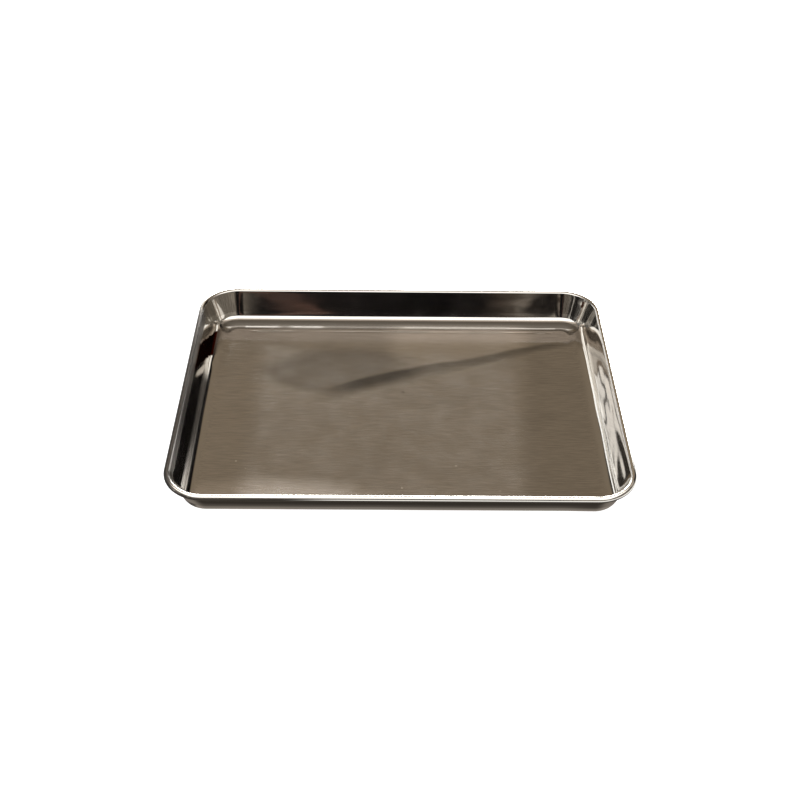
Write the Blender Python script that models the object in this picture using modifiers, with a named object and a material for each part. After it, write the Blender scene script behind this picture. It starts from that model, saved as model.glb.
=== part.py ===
"""Shallow developing tray in drawn stainless steel sheet, its rim curled round a steel wire.

Metres, +Z up. X is the long way and Y the short way. The origin is at the middle of the underside,
on the surface that the tray stands on. Two sub-parts:

tray_pan   one sheet: a flat floor, a cove of two radii, flared walls, and a curl along the rim
rim_wire   the closed wire inside the curl, which stiffens the rim

The pan's wet side is drawn as one open profile, standing in a plane through the corner's axis:
s is the distance inwards from the tray's outer edge, and z the height.
"""

import math

import bmesh
import bpy

# Driving dimensions
OUTER_LENGTH = 0.406  # over the rim, along X
OUTER_WIDTH = 0.316  # over the rim, along Y
OVERALL_HEIGHT = 0.033
CORNER_RADIUS = 0.037  # of the rim's outer edge, seen from above
SHEET = 0.0008
WIRE_DIAMETER = 0.0032
WIRE_CLEARANCE = 0.0003  # between the wire and the curl
WALL_FLARE = math.radians(21)  # of the wall from upright
TIGHT_COVE_RADIUS = 0.0078  # where the wall turns in
SOFT_COVE_RADIUS = 0.0275  # where the cove runs out into the floor
TIGHT_COVE_END = math.radians(60)  # the slope of the sheet's normal where the two radii meet
CURL_SWEEP = math.radians(310)

# Facets
CURL_STEPS = 20
TIGHT_COVE_STEPS = 5
SOFT_COVE_STEPS = 4
CORNER_STEPS = 10
WIRE_SIDES_RESOLUTION = 2  # a bevel_resolution, which gives 8 sides

# Derived dimensions
BEAD_RADIUS = WIRE_DIAMETER / 2 + WIRE_CLEARANCE + SHEET
BEAD_Z = OVERALL_HEIGHT - BEAD_RADIUS
CORNER_X = OUTER_LENGTH / 2 - CORNER_RADIUS
CORNER_Y = OUTER_WIDTH / 2 - CORNER_RADIUS
MERGE_DISTANCE = 0.00001


def arc(centre, radius, start, end, steps):
    """Points along an arc in the (s, z) plane, with the first and the last included."""
    points = []
    for step in range(steps + 1):
        angle = start + (end - start) * step / steps
        points.append((centre[0] + radius * math.cos(angle), centre[1] + radius * math.sin(angle)))
    return points


def wet_profile():
    """The wet side's profile, from the floor's edge, up the wall and round the curl."""
    # An angle here is measured from +s, inwards, to +z. The sheet's normal on the wall is at WALL_FLARE.
    wall_normal = (math.cos(WALL_FLARE), math.sin(WALL_FLARE))
    bead_centre = (BEAD_RADIUS, BEAD_Z)
    wall_top = (
        bead_centre[0] + BEAD_RADIUS * wall_normal[0],
        bead_centre[1] + BEAD_RADIUS * wall_normal[1],
    )
    soft_rise = SOFT_COVE_RADIUS * (1 - math.sin(TIGHT_COVE_END))
    tight_rise = TIGHT_COVE_RADIUS * (math.sin(TIGHT_COVE_END) - math.sin(WALL_FLARE))
    wall_foot_z = SHEET + soft_rise + tight_rise
    wall_foot_s = wall_top[0] + (wall_top[1] - wall_foot_z) * math.tan(WALL_FLARE)
    tight_centre = (
        wall_foot_s + TIGHT_COVE_RADIUS * wall_normal[0],
        wall_foot_z + TIGHT_COVE_RADIUS * wall_normal[1],
    )
    soft_centre = (
        tight_centre[0] + (SOFT_COVE_RADIUS - TIGHT_COVE_RADIUS) * math.cos(TIGHT_COVE_END),
        tight_centre[1] + (SOFT_COVE_RADIUS - TIGHT_COVE_RADIUS) * math.sin(TIGHT_COVE_END),
    )
    upright = math.radians(270)
    joint = math.radians(180) + TIGHT_COVE_END
    foot = math.radians(180) + WALL_FLARE
    soft_cove = arc(soft_centre, SOFT_COVE_RADIUS, upright, joint, SOFT_COVE_STEPS)
    tight_cove = arc(tight_centre, TIGHT_COVE_RADIUS, joint, foot, TIGHT_COVE_STEPS)
    curl = arc(bead_centre, BEAD_RADIUS, WALL_FLARE, WALL_FLARE + CURL_SWEEP, CURL_STEPS)
    return soft_cove + tight_cove[1:] + curl


def quarter_pan():
    """One quarter of the wet side, +X and +Y, as an open mesh that stops at the planes of symmetry."""
    mesh = bmesh.new()
    start = [mesh.verts.new((CORNER_X + CORNER_RADIUS - s, CORNER_Y, z)) for s, z in wet_profile()]
    profile = [mesh.edges.new(pair) for pair in zip(start, start[1:])]

    # The corner, turned about its own upright axis
    spun = bmesh.ops.spin(
        mesh,
        geom=start + profile,
        cent=(CORNER_X, CORNER_Y, 0),
        axis=(0, 0, 1),
        angle=math.radians(90),
        steps=CORNER_STEPS,
    )
    turned = [item for item in spun["geom_last"] if isinstance(item, bmesh.types.BMEdge)]

    # The straight sides, drawn out from the corner's two ends to the planes of symmetry
    for edges, offset in ((profile, (0, -CORNER_Y, 0)), (turned, (-CORNER_X, 0, 0))):
        drawn = bmesh.ops.extrude_edge_only(mesh, edges=edges)
        verts = [item for item in drawn["geom"] if isinstance(item, bmesh.types.BMVert)]
        bmesh.ops.translate(mesh, verts=verts, vec=offset)

    # The floor: the lowest open edges and two new ones that meet at the tray's middle
    mesh.verts.ensure_lookup_table()
    lowest = [edge for edge in mesh.edges if edge.is_boundary and on_floor(edge)]
    middle = mesh.verts.new((0, 0, SHEET))
    ends = [vert for vert in mesh.verts if sum(edge in lowest for edge in vert.link_edges) == 1]
    closing = [mesh.edges.new((middle, vert)) for vert in ends]
    bmesh.ops.contextual_create(mesh, geom=lowest + closing)
    bmesh.ops.recalc_face_normals(mesh, faces=mesh.faces)
    return mesh


def on_floor(edge):
    return all(vert.co.z < SHEET + MERGE_DISTANCE for vert in edge.verts)


def floor_faces_up(mesh):
    return max(mesh.faces, key=lambda face: face.calc_area()).normal.z > 0


def steel(name, colour, roughness):
    material = bpy.data.materials.new(name)
    material.use_nodes = True
    shader = material.node_tree.nodes["Principled BSDF"]
    shader.inputs["Base Color"].default_value = (*colour, 1)
    shader.inputs["Metallic"].default_value = 1
    shader.inputs["Roughness"].default_value = roughness
    material.diffuse_color = (*colour, 1)
    return material


def add_pan(collection, material):
    """The whole pan: the quarter mirrored twice, and thickened away from its wet side."""
    quarter = quarter_pan()
    if not floor_faces_up(quarter):
        bmesh.ops.reverse_faces(quarter, faces=quarter.faces)
    mesh = bpy.data.meshes.new("tray_pan")
    quarter.to_mesh(mesh)
    quarter.free()
    mesh.materials.append(material)
    pan = bpy.data.objects.new("tray_pan", mesh)
    collection.objects.link(pan)

    mirror = pan.modifiers.new("both halves", "MIRROR")
    mirror.use_axis = (True, True, False)
    mirror.merge_threshold = MERGE_DISTANCE

    thickness = pan.modifiers.new("sheet", "SOLIDIFY")
    thickness.thickness = SHEET
    thickness.offset = -1
    thickness.use_even_offset = True

    mesh.shade_smooth()
    mesh.set_sharp_from_angle(angle=math.radians(50))
    return pan


def add_wire(collection, material):
    """The wire, a closed loop that follows the middle of the curl."""
    curve = bpy.data.curves.new("rim_wire", "CURVE")
    curve.dimensions = "3D"
    curve.bevel_depth = WIRE_DIAMETER / 2
    curve.bevel_resolution = WIRE_SIDES_RESOLUTION
    radius = CORNER_RADIUS - BEAD_RADIUS
    points = []
    for quadrant, (side_x, side_y) in enumerate(((1, 1), (-1, 1), (-1, -1), (1, -1))):
        for step in range(CORNER_STEPS + 1):
            angle = math.radians(90) * (quadrant + step / CORNER_STEPS)
            x = side_x * CORNER_X + radius * math.cos(angle)
            y = side_y * CORNER_Y + radius * math.sin(angle)
            points.append((x, y, BEAD_Z, 1))
    spline = curve.splines.new("POLY")
    spline.points.add(len(points) - 1)
    for point, place in zip(spline.points, points):
        point.co = place
    spline.use_cyclic_u = True
    curve.materials.append(material)
    wire = bpy.data.objects.new("rim_wire", curve)
    collection.objects.link(wire)
    return wire


def main():
    for old in list(bpy.data.objects):
        bpy.data.objects.remove(old, do_unlink=True)
    collection = bpy.data.collections.new("developing_tray")
    bpy.context.scene.collection.children.link(collection)
    root = bpy.data.objects.new("developing_tray_root", None)
    collection.objects.link(root)
    pan = add_pan(collection, steel("polished_stainless", (0.62, 0.60, 0.57), 0.12))
    wire = add_wire(collection, steel("steel_wire", (0.48, 0.48, 0.48), 0.35))
    for part in (pan, wire):
        part.parent = root


main()
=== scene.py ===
"""The looks of the developing tray: a fine mesh of the sheet, its steel, its floor and the studio.

Metres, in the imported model's frame: +X along the long side, +Y towards the far long wall, +Z up.
"""

import math

import bmesh
import bpy
from mathutils import Matrix, Vector, noise


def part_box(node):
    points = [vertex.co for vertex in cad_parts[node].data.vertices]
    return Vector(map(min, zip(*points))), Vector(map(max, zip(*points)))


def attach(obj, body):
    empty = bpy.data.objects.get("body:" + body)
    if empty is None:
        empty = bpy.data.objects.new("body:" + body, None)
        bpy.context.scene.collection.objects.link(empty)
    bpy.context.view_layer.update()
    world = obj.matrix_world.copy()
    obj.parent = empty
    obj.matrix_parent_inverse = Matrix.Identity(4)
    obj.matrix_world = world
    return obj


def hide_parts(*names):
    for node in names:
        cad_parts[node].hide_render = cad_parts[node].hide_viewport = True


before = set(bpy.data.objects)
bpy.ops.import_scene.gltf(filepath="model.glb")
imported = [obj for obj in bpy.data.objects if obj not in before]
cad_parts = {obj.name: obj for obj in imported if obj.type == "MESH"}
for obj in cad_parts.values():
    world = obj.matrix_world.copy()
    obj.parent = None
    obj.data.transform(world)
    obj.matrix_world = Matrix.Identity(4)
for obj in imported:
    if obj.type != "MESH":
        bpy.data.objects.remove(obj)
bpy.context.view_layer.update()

# ---------------------------------------------------------------- dimensions of the sheet
_, PAN_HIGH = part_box("tray_pan")
HALF_X = PAN_HIGH.x
HALF_Y = PAN_HIGH.y
TOP_Z = PAN_HIGH.z
CORNER_RADIUS = 0.037
SHEET = 0.0008
BEAD_RADIUS = 0.0027
WALL_FLARE = math.radians(21)
TIGHT_COVE_RADIUS = 0.0078
SOFT_COVE_RADIUS = 0.0275
TIGHT_COVE_END = math.radians(60)
CURL_SWEEP = math.radians(310)
BEAD_Z = TOP_Z - BEAD_RADIUS
CREASE_HEIGHT = 0.0004  # of the line that the drawing die left along the floor's far edge
CREASE_HALF_WIDTH = 0.0012
DENT_Y, DENT_Z = 0.043, 0.017  # the middle of a slanting crease knocked into the wall at -X
DENT_LEAN = 2.4  # how far it runs towards -Y for each unit that it rises
DENT_DEPTH = 0.0007
DENT_HALF_WIDTH = 0.0048
DENT_HALF_LENGTH = 0.028
SWELL_HEIGHT = 0.00035  # of the slow swells in the floor
SLOW_WAVE, SLOW_WAVE_AT_RIGHT = 0.00013, 0.00060  # depths of the waves in the walls
QUICK_WAVE, QUICK_WAVE_AT_RIGHT = 0.00004, 0.00016
BEND_INSET = 0.0165  # how far in from the rim's outer edge the walls turn into the cove
WAVES_INSET = 0.0085  # and how far in the walls' waves reach their full depth
BEAD_INSET = 2 * BEAD_RADIUS - 0.0004  # and where they start, within the bead's inner side

# Facets of the fine mesh
CORNER_STEPS = 22
LONG_STEPS = 72
SHORT_STEPS = 58
CURL_STEPS = 40
WALL_STEPS = 12
TIGHT_COVE_STEPS = 12
SOFT_COVE_STEPS = 14


def smoothstep(low, high, value):
    share = min(max((value - low) / (high - low), 0.0), 1.0)
    return share * share * (3 - 2 * share)


# ---------------------------------------------------------------- the sheet's shape
def arc(centre, radius, start, end, steps):
    points = []
    for step in range(steps + 1):
        angle = start + (end - start) * step / steps
        across, up = radius * math.cos(angle), radius * math.sin(angle)
        points.append((centre[0] + across, centre[1] + up))
    return points


def wet_profile():
    """The wet side from the floor's edge to the curl's end, as s inwards from the rim's edge, and z."""
    wall_normal = (math.cos(WALL_FLARE), math.sin(WALL_FLARE))
    wall_top_s = BEAD_RADIUS + BEAD_RADIUS * wall_normal[0]
    wall_top_z = BEAD_Z + BEAD_RADIUS * wall_normal[1]
    soft_rise = SOFT_COVE_RADIUS * (1 - math.sin(TIGHT_COVE_END))
    tight_rise = TIGHT_COVE_RADIUS * (math.sin(TIGHT_COVE_END) - math.sin(WALL_FLARE))
    foot_z = SHEET + soft_rise + tight_rise
    foot_s = wall_top_s + (wall_top_z - foot_z) * math.tan(WALL_FLARE)
    tight_s = foot_s + TIGHT_COVE_RADIUS * wall_normal[0]
    tight_z = foot_z + TIGHT_COVE_RADIUS * wall_normal[1]
    reach = SOFT_COVE_RADIUS - TIGHT_COVE_RADIUS
    soft_s = tight_s + reach * math.cos(TIGHT_COVE_END)
    soft_z = tight_z + reach * math.sin(TIGHT_COVE_END)
    joint = math.pi + TIGHT_COVE_END
    wall_turn = math.pi + WALL_FLARE
    soft_cove = arc((soft_s, soft_z), SOFT_COVE_RADIUS, 1.5 * math.pi, joint, SOFT_COVE_STEPS)
    tight_cove = arc((tight_s, tight_z), TIGHT_COVE_RADIUS, joint, wall_turn, TIGHT_COVE_STEPS)
    curl_end = WALL_FLARE + CURL_SWEEP
    curl = arc((BEAD_RADIUS, BEAD_Z), BEAD_RADIUS, WALL_FLARE, curl_end, CURL_STEPS)
    edge = soft_cove[0][0]
    crease = [(edge + CREASE_HALF_WIDTH * (3.4 - 0.4 * step), SHEET) for step in range(9)]
    wall = []
    for step in range(1, WALL_STEPS):
        share = step / WALL_STEPS
        s = foot_s + (curl[0][0] - foot_s) * share
        z = foot_z + (curl[0][1] - foot_z) * share
        wall.append((s, z))
    return crease + soft_cove + tight_cove[1:] + wall + curl, edge


PROFILE, FLOOR_EDGE = wet_profile()


def rim_stations():
    """Places round the tray, anticlockwise: a centre to measure from and the outward angle."""
    centre_x = HALF_X - CORNER_RADIUS
    centre_y = HALF_Y - CORNER_RADIUS
    signs = [(1, 1), (-1, 1), (-1, -1), (1, -1)]
    corners = [(centre_x * sign_x, centre_y * sign_y) for sign_x, sign_y in signs]
    steps = [LONG_STEPS, SHORT_STEPS, LONG_STEPS, SHORT_STEPS]
    stations = []
    for index, centre in enumerate(corners):
        following = corners[(index + 1) % 4]
        for step in range(CORNER_STEPS + 1):
            angle = math.pi / 2 * (index + step / CORNER_STEPS)
            stations.append((Vector((*centre, 0)), angle))
        for step in range(1, steps[index]):
            share = step / steps[index]
            place = Vector((*centre, 0)).lerp(Vector((*following, 0)), share)
            stations.append((place, math.pi / 2 * (index + 1)))
    return stations


def inset(point):
    """How far a point stands in from the rim's outer edge."""
    over_x = abs(point.x) - (HALF_X - CORNER_RADIUS)
    over_y = abs(point.y) - (HALF_Y - CORNER_RADIUS)
    if over_x > 0 and over_y > 0:
        return CORNER_RADIUS - math.hypot(over_x, over_y)
    return CORNER_RADIUS - max(over_x, over_y)


def unevenness(point, out):
    """How a drawn and much used sheet strays from the true shape, as an offset."""
    s = inset(point)
    # The floor: the crease, and slow swells
    step = (s - FLOOR_EDGE - 1.6 * CREASE_HALF_WIDTH) / CREASE_HALF_WIDTH
    along = 0.72 + 1.3 * noise.noise(Vector((point.x * 24, 0.37, 3.1)))
    on_crease = math.exp(-step * step) * smoothstep(HALF_Y - 0.075, HALF_Y - 0.038, point.y)
    on_crease *= 1 - smoothstep(0.148, 0.162, abs(point.x))
    swell = 0.5 + 0.5 * noise.noise(Vector((point.x * 9, point.y * 11, 8.4)))
    inner = smoothstep(FLOOR_EDGE, FLOOR_EDGE + 0.05, s)
    rise = on_crease * CREASE_HEIGHT * min(max(along, 0.0), 1.25) + SWELL_HEIGHT * swell * inner
    # The walls: waves along them, strongest at +X, and a knock at -X
    on_wall = smoothstep(FLOOR_EDGE, BEND_INSET, s)
    on_wall *= smoothstep(BEAD_INSET, WAVES_INSET, s)
    right = smoothstep(0.10, 0.18, point.x)
    slow = noise.noise(Vector((point.x * 15, point.y * 15, point.z * 45 + 1.7)))
    quick = noise.noise(Vector((point.x * 38, point.y * 38, point.z * 130 + 5.2)))
    slow *= SLOW_WAVE + SLOW_WAVE_AT_RIGHT * right
    quick *= QUICK_WAVE + QUICK_WAVE_AT_RIGHT * right
    push = on_wall * (slow + quick)
    if point.x < -0.15:
        size = math.hypot(1, DENT_LEAN)
        from_y, from_z = point.y - DENT_Y, point.z - DENT_Z
        across = (from_y + DENT_LEAN * from_z) / size / DENT_HALF_WIDTH
        along = (DENT_LEAN * from_y - from_z) / size / DENT_HALF_LENGTH
        push += on_wall * DENT_DEPTH * math.exp(-2 * across * across - along * along)
    rise -= push * math.sin(WALL_FLARE) * 0.5
    return out * push * math.cos(WALL_FLARE) + Vector((0, 0, rise))


def build_pan():
    mesh = bmesh.new()
    loops = []
    for s, z in PROFILE:
        loop = []
        for place, angle in rim_stations():
            out = Vector((math.cos(angle), math.sin(angle), 0))
            point = place + out * (CORNER_RADIUS - s) + Vector((0, 0, z))
            if s > BEAD_INSET - 0.0002:
                point += unevenness(point, out)
            loop.append(mesh.verts.new(point))
        loops.append(loop)
    for inner, outer in zip(loops, loops[1:]):
        for i in range(len(inner)):
            j = (i + 1) % len(inner)
            mesh.faces.new((inner[i], outer[i], outer[j], inner[j]))
    fill_floor(mesh, loops[0])
    bmesh.ops.recalc_face_normals(mesh, faces=mesh.faces)
    middle = min(mesh.faces, key=lambda face: face.calc_center_median().length)
    if middle.normal.z < 0:
        bmesh.ops.reverse_faces(mesh, faces=mesh.faces)
    return mesh


def fill_floor(mesh, rim):
    """A grid between the floor's straight edges, with a fan in each corner."""
    starts = []
    index = 0
    for steps in (LONG_STEPS, SHORT_STEPS, LONG_STEPS, SHORT_STEPS):
        starts.append(index)
        index += CORNER_STEPS + steps

    def side(number, steps):
        first = starts[number] + CORNER_STEPS
        return [rim[first + k] for k in range(steps)] + [rim[starts[(number + 1) % 4]]]

    far = side(0, LONG_STEPS)
    left = side(1, SHORT_STEPS)
    near = side(2, LONG_STEPS)[::-1]
    right = side(3, SHORT_STEPS)[::-1]
    grid = []
    for row in range(SHORT_STEPS + 1):
        line = []
        for column in range(LONG_STEPS + 1):
            point = Vector((far[column].co.x, left[row].co.y, SHEET))
            line.append(mesh.verts.new(point + unevenness(point, Vector((0, 0, 0)))))
        grid.append(line)
    rows = [far] + grid + [near]
    for upper, lower in zip(rows, rows[1:]):
        for k in range(LONG_STEPS):
            mesh.faces.new((upper[k], lower[k], lower[k + 1], upper[k + 1]))
    for edge, column in ((right, 0), (left, LONG_STEPS)):
        for row in range(SHORT_STEPS):
            mesh.faces.new((edge[row], grid[row][column], grid[row + 1][column], edge[row + 1]))
    hubs = [grid[0][0], grid[0][LONG_STEPS], grid[-1][LONG_STEPS], grid[-1][0]]
    for start, hub in zip(starts, hubs):
        for k in range(CORNER_STEPS):
            mesh.faces.new((hub, rim[start + k], rim[start + k + 1]))


pan_mesh = build_pan()
pan_data = bpy.data.meshes.new("pan_sheet")
pan_mesh.to_mesh(pan_data)
pan_mesh.free()
pan = bpy.data.objects.new("pan_sheet", pan_data)
bpy.context.scene.collection.objects.link(pan)
thickness = pan.modifiers.new("sheet", "SOLIDIFY")
thickness.thickness = SHEET
thickness.offset = -1
thickness.use_even_offset = True
pan_data.shade_smooth()


# ---------------------------------------------------------------- node helpers
class Nodes:
    """Builds a node tree by small steps.

    A value given to a step is a number, a tuple or another step's socket. A share is from 0 to 1.
    """

    def __init__(self, tree):
        self.tree = tree
        tree.nodes.clear()

    def add(self, kind, inputs=None, out=0, **settings):
        node = self.tree.nodes.new(kind)
        for name, value in settings.items():
            setattr(node, name, value)
        for name, value in (inputs or {}).items():
            self.feed(node.inputs[name], value)
        return node if out is None else node.outputs[out]

    def feed(self, socket, value):
        if isinstance(value, bpy.types.NodeSocket):
            self.tree.links.new(value, socket)
        else:
            socket.default_value = value

    def math(self, operation, a, b=0.0, c=0.0, clamp=False):
        inputs = {0: a, 1: b, 2: c}
        return self.add("ShaderNodeMath", inputs, operation=operation, use_clamp=clamp)

    def rest(self, share):
        """What a share leaves of 1."""
        return self.math("SUBTRACT", 1.0, share)

    def both(self, first, *others):
        """The product of shares, which is on where all of them are."""
        for other in others:
            first = self.math("MULTIPLY", first, other)
        return first

    def plus(self, value, share, amount):
        """The value with this amount more where the share is on."""
        return self.math("MULTIPLY_ADD", share, amount, value)

    def centred(self, value):
        """A noise that varies about 0 in place of one half."""
        return self.math("SUBTRACT", value, 0.5)

    def smooth(self, value, low, high):
        inputs = {"Value": value, "From Min": low, "From Max": high}
        return self.add("ShaderNodeMapRange", inputs, interpolation_type="SMOOTHSTEP", clamp=True)

    def scale(self, value, low, high, to_low, to_high):
        inputs = {"Value": value, "From Min": low, "From Max": high}
        inputs |= {"To Min": to_low, "To Max": to_high}
        return self.add("ShaderNodeMapRange", inputs, clamp=True)

    def band(self, value, low, high, soft):
        up = self.smooth(value, low - soft / 2, low + soft / 2)
        down = self.smooth(value, high - soft / 2, high + soft / 2)
        return self.math("SUBTRACT", up, down)

    def mix(self, factor, a, b, blend="MIX"):
        node = self.tree.nodes.new("ShaderNodeMix")
        node.data_type = "RGBA"
        node.blend_type = blend
        self.feed(node.inputs["Factor"], factor)
        self.feed(node.inputs[6], a)
        self.feed(node.inputs[7], b)
        return node.outputs[2]

    def split(self, vector):
        node = self.tree.nodes.new("ShaderNodeSeparateXYZ")
        self.feed(node.inputs[0], vector)
        return node.outputs[0], node.outputs[1], node.outputs[2]

    def stretch(self, vector, scale, turn=0.0):
        inputs = {"Vector": vector, "Scale": scale, "Rotation": (0, 0, math.radians(turn))}
        return self.add("ShaderNodeMapping", inputs)

    def noise(self, vector, scale, detail=2.0, rough=0.5):
        inputs = {"Vector": vector, "Scale": scale, "Detail": detail, "Roughness": rough}
        return self.add("ShaderNodeTexNoise", inputs)

    def blob(self, x, y, centre, size):
        """1 at the centre, falling to 0 at an ellipse of these half sizes."""
        across = self.math("DIVIDE", self.math("SUBTRACT", x, centre[0]), size[0])
        along = self.math("DIVIDE", self.math("SUBTRACT", y, centre[1]), size[1])
        square = self.math("MULTIPLY_ADD", across, across, self.math("MULTIPLY", along, along))
        return self.rest(self.smooth(square, 0.0, 1.0))


def rgb(r, g, b):
    return (r, g, b, 1.0)


# ---------------------------------------------------------------- the steel
# Dried drops and grit on the floor: place and radius
SPECKS = [
    ((0.0503, -0.0810), 0.0011),
    ((0.0016, -0.1104), 0.0012),
    ((-0.1481, -0.0761), 0.0013),
    ((-0.0473, -0.0068), 0.0009),
    ((0.0878, -0.1135), 0.0009),
    ((-0.1385, -0.0860), 0.0007),
    ((0.1195, 0.0630), 0.0008),
]
DARK_SPECK = ((0.0031, 0.0258), 0.0017)


# The floor's regions as a centre and half sizes, along X and Y: a darker patch and a lighter near-left
# patch, both painted reflections, and a hazy patch of roughness
REFLECTED_DARK_PATCH = ((-0.060, 0.062), (0.098, 0.046))
NEAR_LEFT_PATCH = ((-0.112, -0.130), (0.130, 0.038))
HAZY_PATCH = ((-0.120, -0.128), (0.120, 0.040))
# A dark line painted on the floor as a reflection runs level at the first y below and then climbs
# towards +X. A slope is its y at x = 0 and its rise
REFLECTED_LINE_Y = 0.0255
REFLECTED_LINE_SLOPE, REFLECTED_LINE_STEEP_SLOPE = (0.0590, 0.30), (0.0665, 0.56)
REFLECTED_LINE_WANDER = 0.010
# How much lighter or darker each region is than the floor's mean
MEAN_TONE = 1.04
CLOUDS_TONE = 0.28
REFLECTED_LINE_TONE = -0.40
REFLECTED_DARK_TONE = -0.30
RIGHT_TONE = -0.12
FAR_LEFT_TONE = -0.08
NEAR_LEFT_TONE = 0.34


def floor_tone_and_painted_reflections(nodes, x, y, place):
    """The floor's tone: painted reflections (a curved dark line, a darker patch, a lighter area above
    the line, and lighter and darker regions at the sides) over random clouds.
    """
    wander = nodes.noise(nodes.stretch(place, (1, 1, 0)), 16.0, 2.0)
    offset = nodes.math("MULTIPLY", nodes.centred(wander), REFLECTED_LINE_WANDER)
    # The path of the painted dark line, a painted reflection
    rising = nodes.plus(REFLECTED_LINE_SLOPE[0], x, REFLECTED_LINE_SLOPE[1])
    steep = nodes.plus(REFLECTED_LINE_STEEP_SLOPE[0], x, REFLECTED_LINE_STEEP_SLOPE[1])
    lower = nodes.math("SMOOTH_MIN", rising, steep, 0.006)
    painted_line_y = nodes.math("SMOOTH_MAX", lower, REFLECTED_LINE_Y, 0.010)
    above = nodes.math("SUBTRACT", y, nodes.math("ADD", painted_line_y, offset))
    # The line is crisp above and fades below, and narrows towards +X
    width = nodes.scale(x, -0.06, 0.16, 0.026, 0.010)
    fading = nodes.smooth(nodes.math("DIVIDE", above, width), -1.15, -0.25)
    crisp = nodes.rest(nodes.smooth(above, -0.002, 0.004))
    line = nodes.both(fading, crisp, nodes.band(x, -0.06, 0.170, 0.05))
    # A lighter area above the line, a painted reflection
    lighter_above_line = nodes.both(nodes.smooth(above, -0.001, 0.006), nodes.band(x, -0.008, 0.128, 0.03))
    # Painted reflections: darker at +X and at the far left, lighter near the left
    right = nodes.smooth(nodes.math("ADD", offset, nodes.plus(x, y, -0.10)), 0.108, 0.130)
    far_left = nodes.smooth(nodes.plus(y, x, -1.0), 0.20, 0.26)
    near_left = nodes.blob(x, y, *NEAR_LEFT_PATCH)
    clouds = nodes.noise(nodes.stretch(place, (1, 1.6, 0)), 11.0, 3.0, 0.45)
    # A darker patch, a painted reflection, broken up by the clouds
    painted_dark_patch = nodes.plus(nodes.blob(x, y, *REFLECTED_DARK_PATCH), nodes.centred(clouds), 1.5)
    painted_dark_patch = nodes.smooth(painted_dark_patch, 0.02, 0.75)
    tone = nodes.plus(MEAN_TONE, nodes.centred(clouds), CLOUDS_TONE)
    tone = nodes.plus(tone, line, REFLECTED_LINE_TONE)
    tone = nodes.plus(tone, lighter_above_line, nodes.scale(y, 0.080, 0.105, 0.16, 0.36))
    tone = nodes.plus(tone, near_left, NEAR_LEFT_TONE)
    tone = nodes.plus(tone, painted_dark_patch, REFLECTED_DARK_TONE)
    tone = nodes.plus(tone, right, RIGHT_TONE)
    return nodes.plus(tone, far_left, FAR_LEFT_TONE)


def scratches(nodes, place, turn, scale, threshold):
    """Fine straight scratches in one direction, here and there, as 0 to 1."""
    lines = nodes.noise(nodes.stretch(place, (scale, scale * 90, scale), turn), 1.0, 1.0)
    patches = nodes.noise(nodes.stretch(place, (1, 1, 1), turn), 22.0, 1.0)
    here = nodes.smooth(lines, threshold, threshold + 0.05)
    return nodes.both(here, nodes.smooth(patches, 0.50, 0.66))


# Heights at which the regions of the section begin and end
FLOOR_FADE = (0.0012, 0.0034)
SOFT_COVE = (0.0013, 0.0048)
BEND = (0.0047, 0.0115)
# Where the side at -X is painted dark as painted reflection: its cove, its wall and its rim
LEFT_COVE_PAINT_BAND = (0.0045, 0.0125)
WALL_PAINT_BAND = (0.0040, 0.0270)
LEFT_RIM_PAINT_FADE = (0.0245, 0.0270)
RIM_FADE = (0.0305, 0.0318)
REGION_SOFTNESS = 0.0012

FLOOR_STEEL = rgb(0.60, 0.575, 0.545)
WALL_STEEL = rgb(0.64, 0.62, 0.59)
# The far cove is painted darker than the walls, a painted reflection
FAR_COVE_REFLECTION_PAINT = rgb(0.36, 0.34, 0.31)
RIM_STEEL = rgb(0.88, 0.87, 0.845)
BEND_STEEL = rgb(0.90, 0.89, 0.86)
# Dark paints for the side at -X, all painted reflection: the rim, the cove, and a brown patch on the
# wall with its tint
LEFT_RIM_REFLECTION_PAINT = rgb(0.18, 0.172, 0.165)
LEFT_COVE_REFLECTION_PAINT = rgb(0.060, 0.054, 0.048)
WALL_REFLECTION_PAINT = rgb(0.045, 0.020, 0.012)
WALL_REFLECTION_PAINT_TINT = rgb(0.16, 0.08, 0.05)
SCRATCH = rgb(0.85, 0.83, 0.80)
DRIED_DROP = rgb(0.95, 0.94, 0.90)
GRIT = rgb(0.22, 0.20, 0.18)
GRAIN_DEPTH = 0.00002


def left_side_painted_reflections(nodes, place):
    """The side at -X, as three shares of painted reflection: a dark rim, a dark cove and a dark brown
    patch on the wall.
    """
    x, y, z = nodes.split(place)
    ragged = nodes.math("MULTIPLY", nodes.centred(nodes.noise(place, 70.0, 3.0, 0.6)), 0.030)
    short_side = nodes.rest(nodes.smooth(x, -0.178, -0.172))
    outermost = nodes.rest(nodes.smooth(x, -0.196, -0.190))
    # The rim's outer side at -X is painted dark, a painted reflection
    high = nodes.smooth(z, *LEFT_RIM_PAINT_FADE)
    left_rim_painted_dark = nodes.both(outermost, high, nodes.rest(nodes.smooth(y, 0.105, 0.130)))
    # The cove at -X, towards its near end, is painted dark, a painted reflection
    low = nodes.band(z, *LEFT_COVE_PAINT_BAND, REGION_SOFTNESS)
    left_cove_painted_dark = nodes.both(short_side, low, nodes.rest(nodes.smooth(y, 0.030, 0.055)))
    # The painted dark reflection on the wall slants as the dent below it does
    leaning = nodes.plus(nodes.plus(y, ragged, 0.7), z, DENT_LEAN)
    across = nodes.band(leaning, 0.090, 0.131, 0.004)
    wall_painted_dark = nodes.both(across, nodes.band(z, *WALL_PAINT_BAND, 0.003), short_side)
    return left_rim_painted_dark, left_cove_painted_dark, wall_painted_dark


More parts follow.
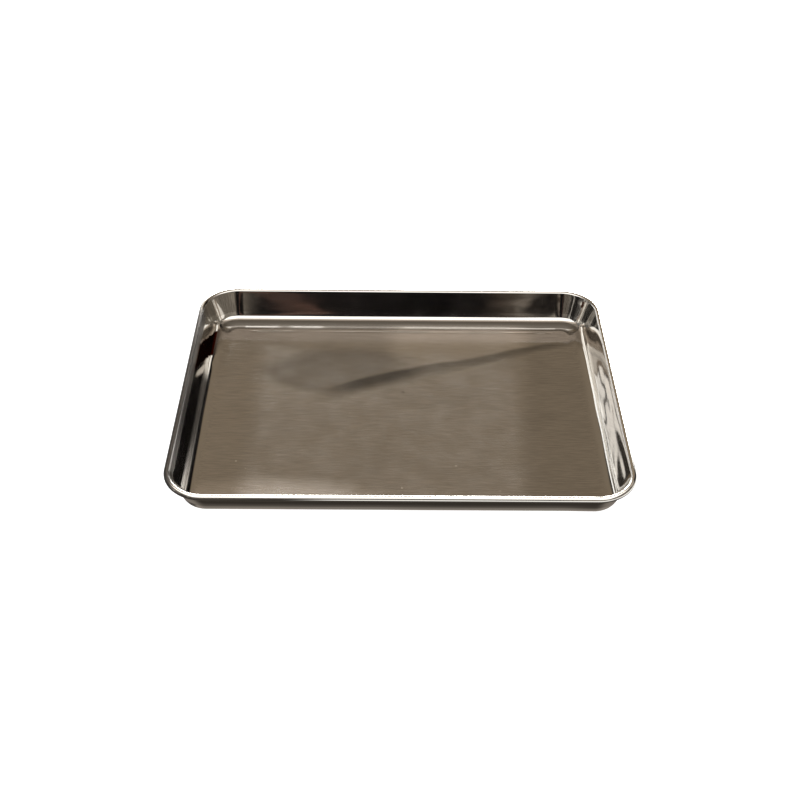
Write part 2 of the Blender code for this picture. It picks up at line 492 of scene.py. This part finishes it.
def steel_sheet():
    material = bpy.data.materials.new("worn_stainless")
    material.use_nodes = True
    nodes = Nodes(material.node_tree)
    place = nodes.add("ShaderNodeTexCoord", out="Object")
    x, y, z = nodes.split(place)

    on_floor = nodes.rest(nodes.smooth(z, *FLOOR_FADE))
    on_soft_cove = nodes.band(z, *SOFT_COVE, REGION_SOFTNESS)
    # The far cove, which is painted darker as a painted reflection
    on_far_cove = nodes.both(on_soft_cove, nodes.smooth(y, 0.085, 0.115))
    on_rim = nodes.smooth(z, *RIM_FADE)
    on_bend = nodes.band(z, *BEND, REGION_SOFTNESS)
    left_rim_painted_dark, left_cove_painted_dark, wall_painted_dark = left_side_painted_reflections(nodes, place)

    tone = floor_tone_and_painted_reflections(nodes, x, y, place)
    grain = nodes.noise(nodes.stretch(place, (60, 900, 900)), 1.0, 4.0, 0.6)
    smudge = nodes.noise(place, 38.0, 4.0, 0.6)
    mark_a = scratches(nodes, place, 9, 12, 0.73)
    mark_b = scratches(nodes, place, -57, 11, 0.73)
    mark_c = scratches(nodes, place, 78, 14, 0.73)
    marks = nodes.math("MAXIMUM", mark_a, nodes.math("MAXIMUM", mark_b, mark_c))

    # Colour: the floor's tone with its painted reflections, a far cove painted darker as a painted
    # reflection, a bright bend and rim, and painted reflections that darken the side at -X
    far_cove_painted_darker = nodes.mix(on_far_cove, WALL_STEEL, FAR_COVE_REFLECTION_PAINT)
    floor_tone = nodes.plus(tone, nodes.centred(grain), 0.60)
    floor_colour = nodes.mix(1.0, FLOOR_STEEL, floor_tone, "MULTIPLY")
    colour = nodes.mix(on_floor, far_cove_painted_darker, floor_colour)
    colour = nodes.mix(on_rim, colour, RIM_STEEL)
    colour = nodes.mix(on_bend, colour, BEND_STEEL)
    # At -X, painted reflections darken the rim, the cove and a patch of the wall
    colour = nodes.mix(left_rim_painted_dark, colour, LEFT_RIM_REFLECTION_PAINT)
    colour = nodes.mix(left_cove_painted_dark, colour, LEFT_COVE_REFLECTION_PAINT)
    colour = nodes.mix(wall_painted_dark, colour, WALL_REFLECTION_PAINT)
    colour = nodes.mix(nodes.math("MULTIPLY", marks, 0.16), colour, SCRATCH)
    for centre, radius in SPECKS:
        spot = nodes.both(nodes.blob(x, y, centre, (radius, radius * 0.8)), on_floor)
        colour = nodes.mix(nodes.math("MULTIPLY", spot, 1.6, clamp=True), colour, DRIED_DROP)
    centre, radius = DARK_SPECK
    spot = nodes.both(nodes.blob(x, y, centre, (radius * 0.7, radius * 1.4)), on_floor)
    colour = nodes.mix(nodes.math("MULTIPLY", spot, 0.7), colour, GRIT)

    # Roughness: hazier floor, clouded; the walls keep their polish
    floor_rough = nodes.scale(smudge, 0.3, 0.7, 0.14, 0.20)
    floor_rough = nodes.plus(floor_rough, nodes.blob(x, y, *HAZY_PATCH), 0.10)
    # The floor beside the two short walls kept its polish, so the walls mirror it sharply
    keen_right = nodes.scale(x, 0.105, 0.135, 1.0, 0.30)
    keen_left = nodes.scale(x, -0.150, -0.130, 0.55, 1.0)
    floor_rough = nodes.math("MULTIPLY", floor_rough, nodes.both(keen_right, keen_left))
    wall_rough = nodes.scale(smudge, 0.3, 0.75, 0.03, 0.09)
    wall_rough = nodes.plus(wall_rough, left_rim_painted_dark, 0.24)
    wall_rough = nodes.plus(wall_rough, left_cove_painted_dark, 0.16)
    wall_rough = nodes.plus(wall_rough, wall_painted_dark, 0.22)
    rough = nodes.mix(on_floor, wall_rough, floor_rough)
    rough = nodes.plus(rough, marks, 0.06)

    # Relief: grain along X, strongest on the floor, and scratches
    grain_height = nodes.both(grain, nodes.scale(on_floor, 0, 1, 0.15, 1.0))
    height = nodes.plus(grain_height, marks, -0.5)
    relief = {"Strength": 0.30, "Distance": GRAIN_DEPTH, "Height": height}
    bump = nodes.add("ShaderNodeBump", relief)

    # The painted dark reflection on the wall keeps its brown at a grazing angle, where bare steel turns
    # white
    tint = nodes.mix(wall_painted_dark, rgb(1.0, 1.0, 1.0), WALL_REFLECTION_PAINT_TINT)

    inputs = {"Base Color": colour, "Metallic": 1.0, "Roughness": rough, "Normal": bump}
    inputs["Specular Tint"] = tint
    shader = nodes.add("ShaderNodeBsdfPrincipled", inputs)
    nodes.add("ShaderNodeOutputMaterial", {"Surface": shader}, out=None)
    return material


pan_data.materials.append(steel_sheet())
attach(pan, "root")
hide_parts("tray_pan")


def wire_steel():
    material = bpy.data.materials.new("drawn_wire")
    material.use_nodes = True
    nodes = Nodes(material.node_tree)
    place = nodes.add("ShaderNodeTexCoord", out="Object")
    grain = nodes.noise(place, 900.0, 3.0)
    drawn = nodes.noise(nodes.stretch(place, (60, 60, 2500)), 1.0, 2.0)
    colour = nodes.mix(grain, rgb(0.36, 0.36, 0.36), rgb(0.56, 0.55, 0.54))
    rough = nodes.scale(drawn, 0.3, 0.7, 0.26, 0.46)
    bump = nodes.add("ShaderNodeBump", {"Strength": 0.4, "Distance": 0.00003, "Height": grain})
    inputs = {"Base Color": colour, "Metallic": 1.0, "Roughness": rough, "Normal": bump}
    shader = nodes.add("ShaderNodeBsdfPrincipled", inputs)
    nodes.add("ShaderNodeOutputMaterial", {"Surface": shader}, out=None)
    return material


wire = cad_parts["rim_wire"]
wire.data.materials.clear()
wire.data.materials.append(wire_steel())


# ---------------------------------------------------------------- the floor it stands on
STAGE_HALF_WIDTH = 30.0
STAGE_GAP = 0.0003  # keeps it clear of the tray's underside


def stage_floor():
    mesh = bmesh.new()
    bmesh.ops.create_grid(mesh, x_segments=8, y_segments=8, size=STAGE_HALF_WIDTH)
    data = bpy.data.meshes.new("studio_floor")
    mesh.to_mesh(data)
    mesh.free()
    floor = bpy.data.objects.new("studio_floor", data)
    floor.location.z = -STAGE_GAP
    bpy.context.scene.collection.objects.link(floor)
    material = bpy.data.materials.new("studio_floor")
    material.use_nodes = True
    nodes = Nodes(material.node_tree)
    place = nodes.add("ShaderNodeNewGeometry", out="Position")
    x, y, _ = nodes.split(place)
    over_x = nodes.math("SUBTRACT", nodes.math("ABSOLUTE", x), HALF_X - FLOOR_EDGE)
    over_y = nodes.math("SUBTRACT", nodes.math("ABSOLUTE", y), HALF_Y - FLOOR_EDGE)
    away = nodes.math("SMOOTH_MAX", over_x, over_y, 0.02)

    # What the steel shows of it, light and shade painted into a glow that only reflections see: bright
    # at the tray's foot, a painted shadow under the rim, and further out pale, but dark beyond the near
    # left
    foot, shadow = rgb(0.26, 0.23, 0.20), rgb(0.048, 0.041, 0.034)
    near = nodes.mix(nodes.smooth(away, 0.0165, 0.0232), foot, shadow)
    open_side = nodes.math("MAXIMUM", nodes.smooth(x, -0.11, -0.05), nodes.smooth(y, 0.140, 0.170))
    dark_side, pale_side = rgb(0.075, 0.068, 0.06), rgb(1.25, 1.23, 1.18)
    far = nodes.mix(open_side, dark_side, pale_side)
    shown = nodes.mix(nodes.smooth(away, 0.048, 0.075), near, far)
    mirrored = nodes.add("ShaderNodeEmission", {"Color": shown, "Strength": 1.0})
    pale = nodes.add("ShaderNodeBsdfDiffuse", {"Color": rgb(0.45, 0.45, 0.45)})
    lift = nodes.add("ShaderNodeEmission", {"Color": rgb(1, 1, 1), "Strength": 0.95})
    plain = nodes.add("ShaderNodeAddShader", {0: pale, 1: lift})
    glossy_ray = nodes.add("ShaderNodeLightPath", out="Is Glossy Ray")
    mixed = nodes.add("ShaderNodeMixShader", {0: glossy_ray, 1: plain, 2: mirrored})
    nodes.add("ShaderNodeOutputMaterial", {"Surface": mixed}, out=None)
    data.materials.append(material)


stage_floor()


# ---------------------------------------------------------------- the studio
def studio_world():
    """What polished steel shows round the tray, by direction.

    In degrees, `far` is the azimuth from +Y towards +X, `near` is the one from -Y towards +X, and
    `up` is the elevation.
    """
    world = bpy.data.worlds.new("studio")
    world.use_nodes = True
    bpy.context.scene.world = world
    nodes = Nodes(world.node_tree)
    direction = nodes.add("ShaderNodeTexCoord", out="Generated")
    x, y, z = nodes.split(direction)
    far = nodes.math("MULTIPLY", nodes.math("ARCTAN2", x, y), math.degrees(1))
    near = nodes.math("ARCTAN2", x, nodes.math("MULTIPLY", y, -1.0))
    near = nodes.math("MULTIPLY", near, math.degrees(1))
    up = nodes.math("MULTIPLY", nodes.math("ARCSINE", z), math.degrees(1))
    streak = nodes.noise(nodes.stretch(direction, (9, 9, 3)), 1.0, 3.0, 0.6)
    mottle = nodes.noise(nodes.stretch(direction, (34, 34, 80)), 1.0, 3.0, 0.55)
    # Edges low behind the camera slant a little
    lean = nodes.math("MULTIPLY", nodes.scale(up, 6.2, 9.4, -1.0, 1.0), 1.3)
    wobble = nodes.math("MULTIPLY", nodes.centred(mottle), 1.4)
    upright = nodes.math("ADD", near, wobble)
    slant = nodes.math("ADD", upright, lean)

    state = {"colour": rgb(0.010, 0.0085, 0.008)}

    def zone(azimuth, turn, soft_turn, rise, soft_rise, colour):
        """Lays a soft-edged patch between two azimuths and two elevations over what is there."""
        patch = nodes.both(nodes.band(azimuth, *turn, soft_turn), nodes.band(up, *rise, soft_rise))
        state["colour"] = nodes.mix(patch, state["colour"], colour)

    # A dim taupe room above, darker low down
    dome = rgb(0.22, 0.185, 0.15)
    state["colour"] = nodes.mix(nodes.smooth(up, 20, 34), state["colour"], dome)
    # Behind the camera, low down: dark, with a few browns
    zone(upright, (-60, -6.75), 0.5, (-6, 20), 6, rgb(0.15, 0.128, 0.105))
    zone(slant, (-5.5, -3.8), 0.9, (1, 16), 6, rgb(0.095, 0.056, 0.043))
    zone(upright, (4.8, 7.1), 1.2, (2, 20), 6, rgb(0.060, 0.045, 0.034))
    zone(upright, (6.2, 7.1), 0.5, (5.5, 20), 4, rgb(0.17, 0.145, 0.12))
    zone(near, (8.5, 62), 0.8, (-8, 22), 6, rgb(0.22, 0.19, 0.155))
    # At the sides
    zone(far, (58, 142), 20, (-8, 22), 8, rgb(0.19, 0.165, 0.135))
    dark_streak, pale_streak = rgb(0.02, 0.018, 0.016), rgb(0.45, 0.42, 0.38)
    side = nodes.mix(nodes.smooth(streak, 0.44, 0.62), dark_streak, pale_streak)
    zone(far, (-150, -58), 16, (-20, 26), 8, side)
    # All of that is mottled, and the far side over it is smooth
    mottled = nodes.scale(mottle, 0.32, 0.68, 0.35, 1.65)
    state["colour"] = nodes.mix(1.0, state["colour"], mottled, "MULTIPLY")
    # The far side: low and bright in the middle, dark at both sides
    zone(far, (20, 66), 8, (-14, 44), 6, rgb(0.003, 0.002, 0.002))
    zone(far, (26, 56), 8, (-14, 13), 6, rgb(0.034, 0.030, 0.027))
    zone(far, (-62, -18), 8, (-14, 40), 8, rgb(0.070, 0.062, 0.055))
    for turn, soft_turn, low in (((-34, -12), 4, 21), ((12, 28), 3, 22)):
        zone(far, turn, soft_turn, (low, 60), 4, rgb(0.255, 0.203, 0.145))
    zone(far, (-16, 17), 6, (-20, 28), 7, rgb(1.7, 1.67, 1.6))
    # The wall over it, which the tray's floor shows
    zone(far, (-31, 30), 3, (28, 93), 6, rgb(0.260, 0.207, 0.148))
    zone(far, (-70, 70), 30, (60, 93), 14, rgb(0.30, 0.265, 0.225))

    studio = nodes.add("ShaderNodeBackground", {"Color": state["colour"], "Strength": 1.0})
    soft = nodes.add("ShaderNodeBackground", {"Color": rgb(1, 1, 1), "Strength": 1.5})
    plain = nodes.add("ShaderNodeBackground", {"Color": rgb(1, 1, 1), "Strength": 1.0})
    path = nodes.add("ShaderNodeLightPath", out=None)
    lit = nodes.add("ShaderNodeMixShader", {0: path.outputs["Is Glossy Ray"], 1: soft, 2: studio})
    seen = nodes.add("ShaderNodeMixShader", {0: path.outputs["Is Camera Ray"], 1: lit, 2: plain})
    nodes.add("ShaderNodeOutputWorld", {"Surface": seen}, out=None)


studio_world()


NEUTRAL_LIGHT = (1.0, 0.985, 0.95)
WARM_LIGHT = (1.0, 0.86, 0.74)
DOWN = (0, 0, -1)
PANEL_Z = 0.30  # height of the large panels
REAR_Y = 0.180  # of the small lights behind the far rim


def panel(name, centre, size, facing, strength, colour=NEUTRAL_LIGHT, spread=180):
    """A soft light panel near the tray. Only polished surfaces show it."""
    light = bpy.data.lights.new(name, "AREA")
    light.shape = "RECTANGLE"
    light.size, light.size_y = size
    # An area light's radiance is its power over its area and pi
    light.energy = strength * math.pi * light.size * light.size_y
    light.color = colour
    light.spread = math.radians(spread)
    placed = bpy.data.objects.new(name, light)
    placed.location = centre
    placed.rotation_euler = Vector(facing).to_track_quat("-Z", "Y").to_euler()
    placed.visible_camera = False
    placed.visible_diffuse = False
    bpy.context.scene.collection.objects.link(placed)


panel("overhead_panel", (0, -0.215, PANEL_Z), (0.80, 0.47), DOWN, 1.25)
panel("far_panel", (0, 0.075, PANEL_Z), (1.4, 0.11), DOWN, 0.36, WARM_LIGHT)
panel("far_panel_right", (0.34, 0.075, PANEL_Z), (0.70, 0.11), DOWN, 0.20, WARM_LIGHT)
# Beyond the corner at +X, turned to the long run of the rim there
panel("side_card", (0.45, 0.40, 0.13), (0.28, 0.26), (-0.53, -0.85, 0), 2.2, spread=46)
# Behind the far rim, with narrow beams that the rim and the cove catch and the floor misses
panel("rear_card", (0, 0.185, 0.034), (0.44, 0.050), (0, -1, 0), 2.4, spread=54)
panel("rear_top", (0, REAR_Y, 0.060), (0.44, 0.032), DOWN, 0.24, spread=78)
# Two short bright ones and a fainter one, which glint along the far edge of the tray's floor
for centre, width, strength in ((-0.149, 0.037, 1.0), (-0.101, 0.036, 1.0), (0.088, 0.165, 0.30)):
    panel("rear_glint", (centre, REAR_Y, 0.0575), (width, 0.032), DOWN, strength, spread=78)
# Three strips beyond the far left corner, for the wall at +X
for low, high in ((0.115, 0.150), (0.168, 0.196), (0.214, 0.250)):
    panel("strip", (-0.19, 0.50, (low + high) / 2), (0.38, high - low), (0.6, -0.8, -0.2), 1.6)

# ---------------------------------------------------------------- the camera
CAMERA_PLACE = (-0.00991, -0.89539, 0.73087)
CAMERA_TURN = math.radians(-0.6326)
CAMERA_ELEVATION = math.radians(38.776)
CAMERA_ROLL = math.radians(0.7766)
LENS_MM = 54.614
SENSOR_MM = 36

camera_data = bpy.data.cameras.new("camera")
camera_data.lens = LENS_MM
camera_data.sensor_width = SENSOR_MM
camera_data.clip_start = 0.05
camera = bpy.data.objects.new("camera", camera_data)
turn = Matrix.Rotation(CAMERA_TURN, 4, "Z")
tilt = Matrix.Rotation(math.pi / 2 - CAMERA_ELEVATION, 4, "X")
roll = Matrix.Rotation(CAMERA_ROLL, 4, "Z")
camera.matrix_world = Matrix.Translation(CAMERA_PLACE) @ turn @ tilt @ roll
bpy.context.scene.collection.objects.link(camera)
bpy.context.scene.camera = camera
bpy.context.scene.view_settings.view_transform = "Standard"
